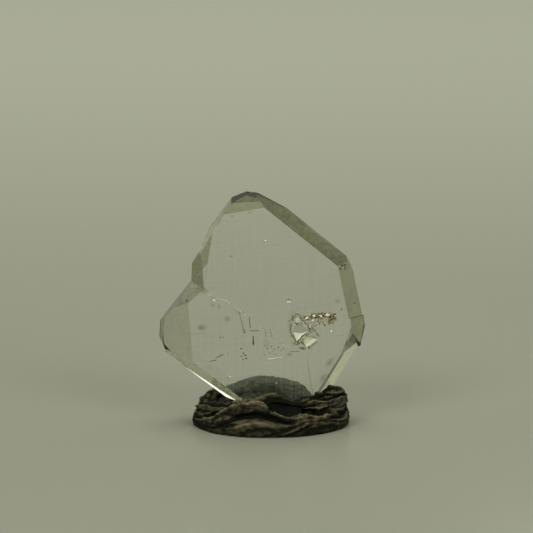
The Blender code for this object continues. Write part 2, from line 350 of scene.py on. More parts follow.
def broad_face_material(settings):
    """Clear quartz with faint growth streaks and the stains on its front face."""
    shader = Shader("clear_quartz")
    fine = shader.noise((6.0, 1.0, 0.16), 2.0, 0.55, turn=GROWTH_SLOPE)
    return shader.finish(
        Base_Color=quartz_tint(shader, settings),
        Roughness=0.0,
        IOR=settings.index,
        Transmission_Weight=1.0,
        Normal=shader.bump(fine, 0.05, 0.02 * MM),
    )


def side_face_material(settings):
    """The narrow side faces: finely ridged across, and darkened by painted shade so that less light comes through
    them.
    """
    shader = Shader("ridged_quartz_painted_shade")
    shade = shader.add("ShaderNodeAttribute", {"attribute_name": "shade"}, output="Fac")
    ridges = shader.noise((0.9, 3.0, 0.10), 3.0, 0.6, turn=GROWTH_SLOPE)
    grain = shader.noise((0.5, 0.5, 0.5), 3.0, 0.6)
    # Painted shade: each side face's listed shade, made patchy by the ridges and grain, with the painted shadows
    # laid over it.
    painted_shade = shade * (0.78 + 0.22 * shader.ramp(ridges * 0.5 + grain * 0.5, (0.38, 0.0), (0.62, 1.0)))
    ridged = 0.8 + 0.2 * shader.ramp(ridges, (0.4, 0.0), (0.6, 1.0))
    painted_shade = painted_shade.highest(shader.spots(SIDE_SHADOWS, SIDE_SHADOW_DEPTH) * ridged)
    iron = shader.spots(IRON_STAINS, SIDE_STAIN_DEPTH) * shader.ramp(grain, *STAIN_SPECKLE)
    clear = shader.blend(painted_shade, SIDE_CLEAR, SIDE_YELLOW)
    return shader.finish(
        Base_Color=shader.blend(iron, shader.blend(painted_shade, clear, settings.side), settings.iron),
        Roughness=0.06,
        IOR=settings.index,
        Transmission_Weight=1.0,
        Normal=shader.bump(ridges, 0.10, 0.03 * MM),
    )


def pit_material(settings):
    """The etched inside of the pits and chips: clear, with pale frosted places."""
    shader = Shader("etched_quartz")
    speckle = shader.noise((0.22, 0.22, 0.22), 3.0, 0.65)
    shader.finish(Base_Color=PIT_CLEAR, Roughness=0.12, IOR=settings.index, Transmission_Weight=1.0)
    frost = shader.spots(FROST_SPOTS) * shader.ramp(speckle, (0.30, 0.55), (0.58, 1.0))
    colour = shader.blend(shader.ramp(speckle, (0.40, 0.0), (0.62, 1.0)), settings.frost, PIT_STAIN)
    return shader.finish_mixed(frost, Base_Color=colour, Roughness=0.55)


class QuartzSettings(bpy.types.PropertyGroup):
    """The crystal's look."""

    index: bpy.props.FloatProperty(
        name="Refractive index", description="How strongly the quartz bends light", default=1.544, min=1.3, max=2.0
    )
    streak: bpy.props.FloatVectorProperty(
        name="Streak", description="Colour of the faint growth streaks", subtype="COLOR", default=(0.90, 0.905, 0.88)
    )
    # The dark colour that the side faces' painted shade mixes in.
    side: bpy.props.FloatVectorProperty(
        name="Side faces", description="Colour seen through the ridged side faces", subtype="COLOR",
        default=(0.080, 0.080, 0.045),
    )
    iron: bpy.props.FloatVectorProperty(
        name="Iron stain", description="Colour of the brown stains", subtype="COLOR", default=(0.20, 0.13, 0.035)
    )
    frost: bpy.props.FloatVectorProperty(
        name="Frosted pits", description="Colour of the etched pits", subtype="COLOR", default=(0.86, 0.85, 0.74)
    )


class PuttySettings(bpy.types.PropertyGroup):
    """The putty's look."""

    # The putty's painted light and shade runs from the dark colour in its folds to the light colour on its ridges.
    dark: bpy.props.FloatVectorProperty(
        name="Dark", description="The putty's colour in its folds", subtype="COLOR", default=(0.006, 0.0055, 0.0035)
    )
    light: bpy.props.FloatVectorProperty(
        name="Light", description="The putty's colour on its ridges", subtype="COLOR", default=(0.250, 0.215, 0.135)
    )
    # A paler film where the crystal pressed the putty, painted lighter to make up for the shade behind the crystal.
    film_and_painted_light: bpy.props.FloatVectorProperty(
        name="Film", description="The putty's colour where the crystal pressed it smooth", subtype="COLOR",
        default=(0.165, 0.180, 0.155),
    )
    detail: bpy.props.FloatProperty(
        name="Detail", description="Size of the smallest modelled fold", subtype="DISTANCE", default=0.00009
    )


class StudioSettings(bpy.types.PropertyGroup):
    """The floor, the lights and the camera."""

    floor_colour: bpy.props.FloatVectorProperty(
        name="Floor", description="Colour of the floor", subtype="COLOR", default=(0.47, 0.47, 0.45)
    )
    # Painted light: the floor's colour far behind, lighter as if better lit there.
    floor_far_painted_light: bpy.props.FloatVectorProperty(
        name="Far floor", description="Colour of the floor behind", subtype="COLOR", default=(0.90, 0.90, 0.88)
    )
    elevation: bpy.props.FloatProperty(
        name="Elevation", description="How far the camera looks down", subtype="ANGLE", default=CAMERA_ELEVATION
    )
    distance: bpy.props.FloatProperty(
        name="Distance", description="From the camera to the crystal", subtype="DISTANCE", default=0.555
    )
    lens: bpy.props.FloatProperty(name="Lens", description="Focal length in millimetres", default=375.3)


# Painted shade on the side faces, how dark each looks: direction of the face around the plate, its tilt, its shade.
SIDE_SHADES = (
    (51.0, 23.0, 0.98),
    (11.0, 30.0, 0.74),
    (26.0, 5.0, 0.75),
    (-20.0, 28.0, 0.70),
    (-30.0, 23.0, 0.70),
    (5.0, 33.0, 0.83),
    (-128.0, 25.0, 0.74),
    (-126.0, 18.0, 0.0),
    (-175.0, 30.0, 0.95),
    (-175.0, 52.0, 0.42),
    (-161.0, 9.0, 0.35),
    (175.0, 14.0, 1.00),
    (132.0, 23.0, 0.44),
    (149.0, 23.0, 0.45),
    (143.0, 0.0, 0.50),
    (100.0, 52.0, 0.62),
    (96.0, 20.0, 0.96),
    (90.0, 0.0, 0.78),
)


def side_shade(normal):
    """The painted shade of the listed side face that points most nearly the same way."""
    around = math.degrees(math.atan2(normal.z, normal.x))
    tilt = abs(math.degrees(math.asin(max(-1.0, min(1.0, normal.y)))))

    def distance(row):
        turn = (around - row[0] + 180.0) % 360.0 - 180.0
        return abs(turn) * math.cos(math.radians(tilt)) + abs(tilt - row[1])

    return min(SIDE_SHADES, key=distance)[2]


class QUARTZ_OT_crystal(bpy.types.Operator):
    """Make the clear twinned crystal"""

    bl_idname = "quartz.crystal"
    bl_label = "Twinned crystal"

    def execute(self, context):
        settings = context.scene.quartz
        bm = crystal_copy()
        bmesh.ops.dissolve_limit(
            bm, angle_limit=math.radians(0.3), verts=bm.verts, edges=bm.edges, use_dissolve_boundaries=False
        )
        bmesh.ops.scale(bm, verts=bm.verts, vec=(1.0 / MM,) * 3)
        self.sort_faces(bm)
        crystal = named_object(
            "quartz_crystal", bm,
            broad_face_material(settings), side_face_material(settings), pit_material(settings),
        )
        part_of(crystal, "quartz_twin", replaced=True)
        return {"FINISHED"}

    def sort_faces(self, bm):
        """Gives each face its finish (0 for the broad faces, 1 for the sides, 2 for pits and chips) and its painted
        shade.
        """
        bm.normal_update()
        shade = bm.faces.layers.float.new("shade")
        for face in bm.faces:
            middle = face.calc_center_median()
            flat = abs(face.normal.y) > 0.97
            outer = middle.y < FRONT_Y + 0.09 or middle.y > BACK_Y - 0.09
            if flat and outer:
                continue
            face.material_index = 1
            face[shade] = side_shade(face.normal)
            in_pit = middle.y < -0.9 and 2.0 < middle.x < 7.6 and 7.6 < middle.z < 13.2
            chip = face.calc_area() < 0.12 and middle.y < -0.6
            if in_pit or chip or flat:
                face.material_index = 2


# Grains of iron mineral and crumbs of quartz on the front face: place, spread, how many, grain size.
GRAIN_PATCHES = (
    ((4.5, 11.0), (0.5, 0.3), 26, 0.13),
    ((5.2, 11.2), (0.5, 0.3), 26, 0.13),
    ((5.9, 11.2), (0.5, 0.3), 26, 0.14),
    ((6.5, 11.3), (0.4, 0.3), 22, 0.14),
    ((7.0, 11.1), (0.4, 0.4), 24, 0.15),
    ((6.8, 10.6), (0.3, 0.3), 18, 0.16),
    ((5.6, 10.6), (0.5, 0.3), 14, 0.11),
    ((5.1, 10.3), (0.3, 0.3), 8, 0.10),
    ((2.8, 10.6), (0.2, 0.5), 10, 0.08),
    ((3.4, 8.5), (0.4, 0.2), 16, 0.12),
    ((4.1, 7.9), (0.3, 0.1), 9, 0.10),
    ((6.2, 10.3), (0.1, 0.1), 4, 0.13),
    ((8.0, 16.2), (0.4, 0.4), 14, 0.15),
    ((-6.0, 10.0), (0.4, 0.3), 7, 0.06),
    ((-4.1, 9.0), (0.2, 0.1), 5, 0.08),
    ((-1.7, 9.5), (0.1, 0.1), 4, 0.09),
    ((-0.9, 8.4), (0.1, 0.2), 6, 0.10),
    ((-4.9, 12.8), (0.2, 0.1), 6, 0.07),
    ((-7.5, 12.8), (0.1, 0.1), 4, 0.12),
)
# Brown crusts along the mouths of the pits: places along the line, grain size.
CRUSTS = (
    (((3.0, 10.7), (3.0, 11.0), (3.2, 11.3), (3.5, 11.4), (3.8, 11.2), (4.0, 10.8), (4.2, 10.7)), 0.085),
    (((3.3, 10.4), (3.6, 10.3), (4.0, 10.5)), 0.060),
    (((2.9, 10.5), (2.8, 9.9), (2.9, 9.4), (3.1, 9.0), (3.3, 8.6)), 0.085),
    (((4.2, 10.6), (4.5, 10.3), (4.7, 9.9), (5.1, 9.9), (5.4, 9.5), (5.6, 9.1)), 0.080),
    (((5.0, 9.5), (4.7, 9.6), (4.7, 9.9)), 0.070),
    (((4.7, 9.4), (4.3, 9.3), (3.9, 9.1), (3.6, 8.6)), 0.060),
    (((3.7, 8.0), (4.0, 7.9), (4.3, 7.8)), 0.090),
)
# White flakes painted as glints, where the pit walls and dimples catch the light: corners as (x, z, depth below the
# front face).
PAINTED_GLINT_FLAKES = (
    ((4.2, 8.3, 0.30), (4.4, 8.0, -0.04), (5.5, 8.8, -0.04), (5.3, 9.1, 0.30)),
    ((3.1, 9.5, 0.25), (3.4, 8.7, 0.02), (3.7, 8.9, 0.05), (3.9, 9.2, 0.15), (4.5, 9.6, 0.25), (3.9, 9.4, 0.25)),
    ((6.2, 11.4, 0.0), (6.4, 11.2, -0.1), (6.8, 11.3, -0.1), (6.6, 11.5, 0.0)),
    ((5.0, 11.3, 0.0), (5.1, 11.1, -0.1), (5.3, 11.2, -0.1), (5.2, 11.4, 0.0)),
    ((5.6, 11.3, 0.0), (5.8, 11.1, -0.1), (6.0, 11.1, -0.1), (5.9, 11.3, 0.0)),
    ((4.2, 11.1, 0.0), (4.3, 10.9, -0.1), (4.6, 11.0, -0.1), (4.5, 11.2, 0.0)),
    ((4.9, 10.8, 0.0), (5.0, 10.7, -0.1), (5.2, 10.8, -0.1), (5.1, 10.9, 0.0)),
    ((2.4, 12.7, 0.05), (2.5, 12.5, 0.00), (2.8, 12.5, 0.00), (2.9, 12.7, 0.05)),
    ((-4.9, 12.9, 0.00), (-4.9, 12.7, -0.05), (-4.7, 12.7, -0.05), (-4.7, 12.9, 0.00)),
    ((6.7, 9.7, 0.05), (6.8, 9.5, 0.00), (7.0, 9.6, 0.00), (7.0, 9.8, 0.05)),
)
CORNER_FLAKE = ((7.7, 16.5, -0.02), (7.8, 16.2, -0.04), (8.1, 16.2, -0.04), (8.0, 16.5, -0.02))
PALE_FLAKES = (
    ((3.9, 8.9, 0.30), (4.2, 8.3, 0.20), (5.3, 9.0, 0.25), (4.9, 9.2, 0.32), (4.3, 9.1, 0.32)),
    ((3.2, 10.8, 0.10), (3.4, 10.5, 0.05), (3.8, 10.6, 0.05), (3.8, 10.9, 0.10), (3.5, 11.1, 0.12)),
    ((4.5, 10.5, 0.10), (4.7, 10.0, 0.05), (5.0, 10.0, 0.05), (4.9, 10.4, 0.10)),
)
# Dark specks: place, size.
DARK_SPECKS = (
    ((-7.5, 12.7), 0.14),
    ((-2.1, 7.9), 0.13),
    ((-1.9, 7.4), 0.12),
    ((-1.7, 7.2), 0.13),
    ((-2.1, 7.1), 0.13),
    ((-1.6, 6.9), 0.15),
    ((-1.9, 6.8), 0.11),
    ((0.3, 8.2), 0.08),
    ((0.5, 7.9), 0.10),
    ((0.9, 8.1), 0.09),
    ((1.2, 7.8), 0.10),
    ((1.6, 8.0), 0.12),
    ((0.7, 7.5), 0.09),
    ((1.9, 7.7), 0.10),
    ((1.3, 7.3), 0.07),
    ((1.0, 7.6), 0.07),
    ((2.1, 7.9), 0.08),
    ((-3.0, 21.3), 0.10),
    ((9.2, 12.5), 0.12),
    ((7.9, 11.8), 0.10),
    ((5.6, 7.7), 0.07),
    ((7.5, 9.2), 0.07),
    ((8.0, 9.2), 0.07),
    ((6.2, 10.3), 0.12),
    ((2.6, 12.9), 0.10),
)
# Dark hair-fine crystals: start, end, width.
NEEDLES = (
    ((-2.3, 11.6), (-1.8, 9.5), 0.11),
    ((-1.3, 11.1), (-1.2, 10.0), 0.13),
    ((-1.3, 9.7), (-0.3, 9.7), 0.15),
    ((-0.9, 9.2), (-0.9, 8.4), 0.17),
    ((2.7, 7.6), (3.7, 7.6), 0.11),
    ((-7.3, 9.4), (-5.5, 9.4), 0.04),
    ((-5.3, 6.6), (-4.6, 6.7), 0.15),
    ((-4.7, 6.9), (-3.9, 7.3), 0.17),
    ((-3.5, 7.2), (-3.4, 7.5), 0.07),
    ((4.4, 7.0), (4.7, 5.2), 0.06),
    ((4.7, 5.2), (5.1, 3.0), 0.06),
    ((2.5, 12.9), (2.8, 12.9), 0.10),
)
GOLDEN_NEEDLES = (
    ((0.2, 9.9), (0.4, 9.1), 0.13),
    ((0.8, 9.9), (0.9, 9.1), 0.12),
    ((-1.8, 9.9), (-1.7, 9.4), 0.12),
    ((0.1, 7.5), (0.3, 7.2), 0.08),
)
# Pale healed cracks and scratches: start, end, width.
PALE_STREAKS = (
    ((0.6, 6.8), (2.1, 7.0), 0.20),
    ((-6.6, 6.4), (-5.8, 6.4), 0.05),
    ((-0.1, 9.0), (0.1, 8.5), 0.09),
    ((2.3, 7.9), (2.6, 8.3), 0.06),
)
# White flecks of quartz, some of them painted glints where small pits catch the light: place, size.
WHITE_FLECKS = (
    ((6.9, 9.7), 0.15),
    ((-3.5, 5.1), 0.11),
    ((1.4, 4.4), 0.10),
    ((2.9, 4.5), 0.10),
    ((-2.2, 20.5), 0.06),
    ((-1.9, 20.4), 0.05),
    ((-4.9, 17.4), 0.06),
    ((-4.7, 19.9), 0.05),
    ((-4.8, 12.8), 0.11),
    ((0.2, 18.8), 0.05),
    ((3.6, 17.2), 0.04),
    ((5.9, 14.6), 0.04),
    ((-1.0, 15.2), 0.04),
)
SEAM_LINE = (
    (-5.7, 13.8), (-5.2, 13.3), (-4.9, 13.0), (-4.2, 12.9), (-3.7, 12.8), (-3.2, 12.5), (-2.6, 12.0), (-2.1, 11.6),
    (-1.6, 11.2), (-0.9, 10.6), (0.0, 9.9), (0.9, 9.3), (1.7, 8.7), (2.3, 8.2), (2.7, 8.0),
)


def crystal_surface():
    """The crystal's surface, for finding the place of a mark on it."""
    bm = crystal_copy()
    tree = BVHTree.FromBMesh(bm)
    bm.free()
    return tree


SURFACE = crystal_surface()


def on_crystal(x, z):
    """Where the crystal's surface lies behind a place of the front face, seen from the camera."""
    sight = Vector((0.0, math.cos(CAMERA_ELEVATION), -math.sin(CAMERA_ELEVATION)))
    place = Vector((x, FRONT_Y, z)) * MM
    hit = SURFACE.ray_cast(place - sight * 3.0 * MM, sight)[0]
    if hit is None:
        hit = SURFACE.find_nearest(place)[0]
    return hit / MM


def grain(bm, place, size, seed, material=0):
    """A small angular grain that is sunk half way into the crystal's surface."""
    made = bmesh.ops.create_icosphere(bm, subdivisions=1, radius=1.0)["verts"]
    for vert in made:
        vert.co *= 0.75 + 0.5 * noise.noise(vert.co * 1.7 + Vector((seed, 0.0, 0.0)))
    spin = Matrix.Rotation(seed * 1.7, 4, "Y") @ Matrix.Diagonal((size, size * 0.45, size * 0.7, 1.0))
    bmesh.ops.transform(bm, verts=made, matrix=Matrix.Translation(on_crystal(*place)) @ spin)
    for face in {face for vert in made for face in vert.link_faces}:
        face.material_index = material


def thread(bm, start, end, width, ends=(1.0, 0.5), depth=0.5):
    """A thin straight line that lies half sunk in the crystal's surface."""
    first, last = on_crystal(*start), on_crystal(*end)
    made = bmesh.ops.create_cone(
        bm, cap_ends=True, segments=6, radius1=0.5 * width * ends[0], radius2=0.5 * width * ends[1],
        depth=(last - first).length,
    )["verts"]
    turn = (last - first).to_track_quat("Z", "Y").to_matrix().to_4x4()
    flat = Matrix.Diagonal((1.0, depth, 1.0, 1.0))
    bmesh.ops.transform(bm, verts=made, matrix=Matrix.Translation((first + last) / 2.0) @ turn @ flat)


def flake(bm, corners, on_side=False):
    """A thin flake with its corners at places (x, z, depth) on the front face, or on the side behind them."""
    places = []
    for x, z, depth in corners:
        place = on_crystal(x, z) if on_side else Vector((x, FRONT_Y, z))
        places.append(place + Vector((0.0, depth, 0.0)))
    face = bm.faces.new([bm.verts.new(place) for place in places])
    thick = bmesh.ops.extrude_face_region(bm, geom=[face])["geom"]
    bmesh.ops.translate(bm, verts=[part for part in thick if isinstance(part, bmesh.types.BMVert)], vec=(0, 0.04, 0))


def along(points, spacing):
    """Places along a bent line, a little to the left and right of it."""
    for index, (start, end) in enumerate(zip(points, points[1:])):
        first, last = Vector(start), Vector(end)
        steps = max(1, round((last - first).length / spacing))
        for step in range(steps):
            place = first.lerp(last, step / steps)
            shake = noise.noise_vector(Vector((place.x * 3.1, place.y * 3.7, index)))
            yield place.x + 0.07 * shake.x, place.y + 0.07 * shake.y


def scattered(count, seed):
    """Repeatable pairs of numbers that bunch towards 0, for places inside a patch."""
    for index in range(count):
        turn = 2.399963 * index + seed
        out = math.sqrt((index + 0.5) / count)
        wobble = 0.25 * noise.noise(Vector((index * 0.91, seed, 4.0)))
        yield out * math.cos(turn) + wobble, out * math.sin(turn) - wobble


def grain_material(name, first, second, rough):
    """A small mark's finish, which goes from one colour to another in a fine speckle."""
    shader = Shader(name)
    speckle = shader.noise((0.09, 0.09, 0.09), 2.0, 0.6)
    mask = shader.ramp(speckle, (0.38, 0.0), (0.60, 1.0))
    return shader.finish(Base_Color=shader.blend(mask, first, second), Roughness=rough)


class QUARTZ_OT_marks(bpy.types.Operator):
    """Make the mineral grains, needles, healed cracks and the line along the twin seam"""

    bl_idname = "quartz.marks"
    bl_label = "Grains, needles and seam"

    def execute(self, context):
        golden = grain_material("golden_iron_grains", (0.16, 0.12, 0.028), (0.46, 0.36, 0.14), 0.45)
        brown = grain_material("dark_brown_grains", (0.022, 0.016, 0.004), (0.12, 0.085, 0.022), 0.5)
        pale = grain_material("pale_quartz_crumbs", (0.70, 0.68, 0.56), (0.95, 0.94, 0.86), 0.30)
        # White flakes painted as glints.
        bright = grain_material("painted_glint_quartz_flakes", (0.92, 0.91, 0.86), (0.99, 0.99, 0.96), 0.25)
        frosted = grain_material("frosted_quartz_flakes", (0.58, 0.57, 0.47), (0.86, 0.84, 0.72), 0.40)
        bm = bmesh.new()
        number = 0
        for (x, z), (wide, high), count, size in GRAIN_PATCHES:
            for across, up in scattered(count, x * 3.0 + z):
                number += 1
                kind = (0, 1, 2, 1, 0, 1, 0)[number % 7]
                place = (x + across * wide, z + up * high)
                grain(bm, place, size * (0.6 + 0.5 * math.sin(number * 2.3) ** 2), number * 0.7, kind)
        for points, size in CRUSTS:
            for place in along(points, size * 0.9):
                number += 1
                kind = (1, 0, 1, 1)[number % 4]
                grain(bm, place, size * (0.7 + 0.5 * math.sin(number * 2.3) ** 2), number * 0.7, kind)
        part_of(named_object("iron_grains", bm, golden, brown, pale), "quartz_twin")
        bm = bmesh.new()
        for index, (place, size) in enumerate(DARK_SPECKS):
            grain(bm, place, size, index * 1.3)
        for start, end, width in NEEDLES:
            thread(bm, start, end, width, (0.6, 1.0))
        part_of(named_object("dark_needles", bm, brown), "quartz_twin")
        bm = bmesh.new()
        for start, end, width in GOLDEN_NEEDLES:
            thread(bm, start, end, width, (0.7, 1.0))
        part_of(named_object("golden_needles", bm, golden), "quartz_twin")
        bm = bmesh.new()
        for index, (place, size) in enumerate(WHITE_FLECKS):
            grain(bm, place, size, index * 2.1)
        for start, end, width in PALE_STREAKS:
            thread(bm, start, end, width, (1.0, 0.3), 1.0)
        part_of(named_object("pale_flecks", bm, pale), "quartz_twin")
        for name, rows, material in (
            ("painted_glint_flakes", PAINTED_GLINT_FLAKES, bright), ("frosted_flakes", PALE_FLAKES, frosted),
        ):
            bm = bmesh.new()
            for corners in rows:
                flake(bm, corners)
            if rows is PALE_FLAKES:
                flake(bm, CORNER_FLAKE, on_side=True)
            part_of(named_object(name, bm, material), "quartz_twin")
        self.seam()
        return {"FINISHED"}

    def seam(self):
        """A pale, thin and broken line where the two crystals meet, painted as the highlight along the step between
        them.
        """
        bm = bmesh.new()
        for index, (start, end) in enumerate(zip(SEAM_LINE, SEAM_LINE[1:])):
            width = 0.12 + 0.05 * math.sin(index * 2.1)
            thread(bm, start, end, width, (1.0, 0.8), 1.0)
        shader = Shader("painted_seam_highlight")
        speckle = shader.noise((0.30, 0.30, 0.30), 2.0, 0.6)
        material = shader.finish(
            Base_Color=(0.88, 0.88, 0.80), Roughness=0.35,
            Alpha=shader.ramp(speckle, (0.38, 0.25), (0.58, 0.95)),
        )
        part_of(named_object("painted_seam_highlight", bm, material), "quartz_twin")


def stations_at(stations, angle, closed):
    """Values at an angle along a row of stations, following a smooth curve through them."""
    rows = list(stations)
    if closed:
        last, first = rows[-1], rows[0]
        rows = [(last[0] - 360.0, *last[1:])] + rows + [(first[0] + 360.0, *first[1:])]
        rows = [(rows[-3][0] - 360.0, *rows[-3][1:])] + rows + [(rows[2][0] + 360.0, *rows[2][1:])]
    index = max(i for i in range(len(rows) - 1) if rows[i][0] <= angle or i == 0)
    start, end = rows[index], rows[index + 1]
    before, after = rows[max(index - 1, 0)], rows[min(index + 2, len(rows) - 1)]
    part = min(max((angle - start[0]) / (end[0] - start[0]), 0.0), 1.0)
    values = []
    for a, b, c, d in zip(before[1:], start[1:], end[1:], after[1:]):
        bend = (2.0 * a - 5.0 * b + 4.0 * c - d) * part
        curl = (3.0 * b - a - 3.0 * c + d) * part * part
        values.append(b + 0.5 * part * (c - a + bend + curl))
    return values


def putty_roll(bm, stations, closed=False, tilt=0.0):
    """A roll of putty. A station is (angle, radius, height, half width, half height), angle 0 being in front."""
    first = stations[0][0]
    sweep = 360.0 if closed else stations[-1][0] - first
    steps = max(8, int(sweep / 2.5))
    old = set(bm.verts)
    ring = bmesh.ops.create_circle(bm, cap_ends=not closed, segments=20, radius=1.0)["verts"]
    bmesh.ops.rotate(bm, verts=ring, matrix=Matrix.Rotation(math.radians(90.0), 3, "X"))
    bmesh.ops.translate(bm, verts=ring, vec=(10.0, 0.0, 0.0))
    parts = ring + list({edge for vert in ring for edge in vert.link_edges})
    parts += list({face for vert in ring for face in vert.link_faces})
    bmesh.ops.spin(
        bm, geom=parts, cent=(0.0, 0.0, 0.0), axis=(0.0, 0.0, 1.0),
        angle=math.radians(sweep), steps=steps, use_merge=closed,
    )
    for vert in set(bm.verts) - old:
        along = math.degrees(math.atan2(vert.co.y, vert.co.x)) % 360.0
        if not closed and along > sweep + 2.0:
            along = 0.0
        across = math.hypot(vert.co.x, vert.co.y) - 10.0
        rise = vert.co.z
        radius, height, wide, high = stations_at(stations, first + along, closed)
        turn = math.radians(first + along)
        lean = math.radians(tilt)
        across, rise = across * wide, rise * high
        reach = radius + across * math.cos(lean) + rise * math.sin(lean)
        vert.co = (
            PUTTY_CENTRE[0] + reach * math.sin(turn),
            PUTTY_CENTRE[1] - reach * math.cos(turn),
            height + rise * math.cos(lean) - across * math.sin(lean),
        )


PUTTY_BODY = (
    (-90, 6.15, 0.35, 1.75, 1.30),
    (-50, 6.30, 0.35, 1.60, 1.15),
    (-25, 6.15, 0.50, 1.60, 1.50),
    (0, 5.90, 0.55, 1.60, 1.60),
    (40, 6.15, 0.50, 1.60, 1.35),
    (90, 6.30, 0.60, 1.65, 1.60),
    (135, 6.00, 0.60, 1.60, 1.55),
    (180, 5.75, 0.60, 1.60, 1.50),
    (225, 6.00, 0.50, 1.60, 1.45),
)
PUTTY_MIDDLE = (
    (-104, 5.90, 0.95, 0.60, 0.40),
    (-76, 6.10, 0.75, 1.15, 0.55),
    (-53, 5.75, 0.90, 1.30, 0.80),
    (-38, 5.50, 1.55, 1.35, 0.98),
    (-12, 5.30, 2.15, 1.45, 1.08),
    (5, 5.60, 1.35, 1.20, 0.62),
    (24, 6.10, 1.10, 0.80, 0.45),
    (44, 6.30, 1.10, 0.30, 0.25),
)
PUTTY_COLLAR = (
    (-62, 5.00, 1.90, 1.20, 0.80),
    (-30, 3.75, 2.15, 1.20, 0.85),
    (3, 3.30, 2.70, 1.15, 0.88),
    (22, 3.50, 2.55, 1.00, 0.80),
    (45, 4.20, 2.10, 1.00, 0.80),
    (56, 4.75, 2.15, 1.05, 0.90),
    (67, 5.45, 2.50, 1.20, 1.20),
    (80, 6.25, 2.60, 1.40, 1.48),
    (100, 6.30, 1.90, 1.35, 1.30),
    (116, 5.80, 1.05, 1.30, 1.15),
    (130, 5.20, 1.15, 1.30, 1.10),
    (142, 4.60, 2.25, 1.30, 1.30),
    (168, 3.75, 2.90, 1.35, 1.28),
    (196, 3.80, 3.05, 1.35, 1.28),
    (216, 4.55, 2.70, 1.30, 1.25),
    (232, 5.60, 2.05, 1.25, 1.20),
    (250, 6.15, 1.70, 1.20, 1.15),
    (270, 6.20, 1.30, 1.10, 0.90),
)
PUTTY_FOLD = (
    (-112, 6.20, 1.75, 0.40, 0.25),
    (-90, 6.65, 1.62, 0.80, 0.33),
    (-66, 6.25, 1.65, 0.90, 0.36),
    (-46, 5.20, 2.00, 0.50, 0.30),
)
# A thin standing sheet, whose free edge is the light line across the front.
PUTTY_PETAL = (
    (-84, 6.95, 0.40, 0.20, 0.35),
    (-66, 7.00, 0.50, 0.24, 0.50),
    (-50, 6.70, 1.15, 0.28, 0.65),
    (-36, 6.35, 1.95, 0.30, 0.80),
    (-20, 6.05, 2.35, 0.32, 0.85),
    (-6, 6.15, 2.15, 0.30, 0.80),
    (8, 6.50, 1.45, 0.28, 0.60),
    (22, 6.90, 1.15, 0.24, 0.45),
    (34, 7.05, 1.20, 0.18, 0.30),
)
# Lips of the folds: (angle, height) along the lip, the reaches between which it lies, the side on which the fold
# is deep (1 above, -1 below), how deep, and the lip's half width.
PUTTY_LIPS = (
    (((-80, 0.7), (-65, 1.0), (-57, 1.25), (-50, 1.8), (-40, 2.5), (-28, 3.0), (-12, 3.2), (-2, 2.8), (8, 2.05),
      (24, 1.7)), (5.0, 9.0), 1, 0.65, 0.12),
    (((18, 1.7), (35, 1.9), (42, 1.6), (58, 1.7)), (5.0, 9.0), 1, 0.50, 0.12),
    (((-95, 1.1), (-75, 1.3), (-65, 1.5), (-54, 2.3)), (4.5, 9.0), 1, 0.50, 0.11),
    (((-95, 1.6), (-77, 2.0), (-62, 2.15), (-50, 2.3)), (4.5, 9.0), 1, 0.40, 0.11),
    (((-56, 2.8), (-24, 3.05), (4, 3.55), (33, 3.3), (60, 2.8)), (2.6, 4.9), -1, 0.40, 0.12),
    (((6, 0.2), (21, 0.8), (36, 1.5)), (5.0, 9.0), -1, 0.24, 0.13),
    (((38, 2.0), (48, 2.2), (57, 2.1), (66, 2.3)), (4.2, 9.0), -1, 0.42, 0.11),
    (((44, 2.55), (54, 2.85), (64, 2.7), (76, 2.95), (88, 2.7)), (4.2, 9.0), 1, 0.34, 0.10),
    (((56, 3.3), (66, 3.55), (76, 3.4), (88, 3.5)), (4.2, 9.0), -1, 0.34, 0.10),
    (((52, 1.3), (66, 1.0), (80, 1.3), (94, 1.1)), (5.0, 9.0), 1, 0.34, 0.12),
    (((64, 1.9), (76, 1.7), (90, 2.0)), (5.0, 9.0), -1, 0.30, 0.10),
    (((96, 2.2), (112, 1.8), (130, 1.95), (150, 1.9)), (4.0, 9.0), 1, 0.40, 0.14),
    (((104, 0.95), (128, 1.3), (152, 1.0), (176, 1.3)), (5.0, 9.0), -1, 0.40, 0.14),
    (((148, 2.75), (168, 2.45), (190, 2.8), (214, 2.35)), (3.0, 9.0), 1, 0.50, 0.14),
    (((165, 1.75), (185, 1.45), (205, 1.8), (230, 1.45)), (4.5, 9.0), -1, 0.42, 0.14),
    (((192, 0.8), (212, 1.05), (236, 0.75), (260, 0.95)), (5.0, 9.0), 1, 0.40, 0.14),
    (((222, 2.35), (238, 1.95), (252, 2.1), (262, 1.8)), (4.0, 9.0), 1, 0.42, 0.12),
)
# Softer creases and ridges: (angle, height) along the line, push outwards, half width.
PUTTY_CREASES = (
    (((-48, 0.7), (-37, 1.35), (-27, 1.9), (-18, 2.1), (-9, 2.15), (4, 1.8), (20, 1.5)), -0.75, 0.18),
    (((-60, 0.4), (-37, 0.85), (-27, 1.15)), -0.20, 0.12),
    (((-30, 0.8), (-20, 1.2), (-10, 1.4), (8, 0.95)), 0.16, 0.18),
    (((-24, 0.4), (-14, 0.7), (-4, 0.9), (6, 0.6)), -0.18, 0.14),
    (((-8, 0.1), (2, 0.3), (12, 0.7), (22, 1.15)), -0.20, 0.12),
    (((26, 0.35), (48, 0.7), (60, 0.55)), -0.16, 0.16),
    (((-88, 0.55), (-76, 0.45), (-56, 0.4)), -0.20, 0.12),
    (((50, 3.05), (60, 3.2), (72, 3.9), (84, 3.8)), -0.24, 0.11),
)
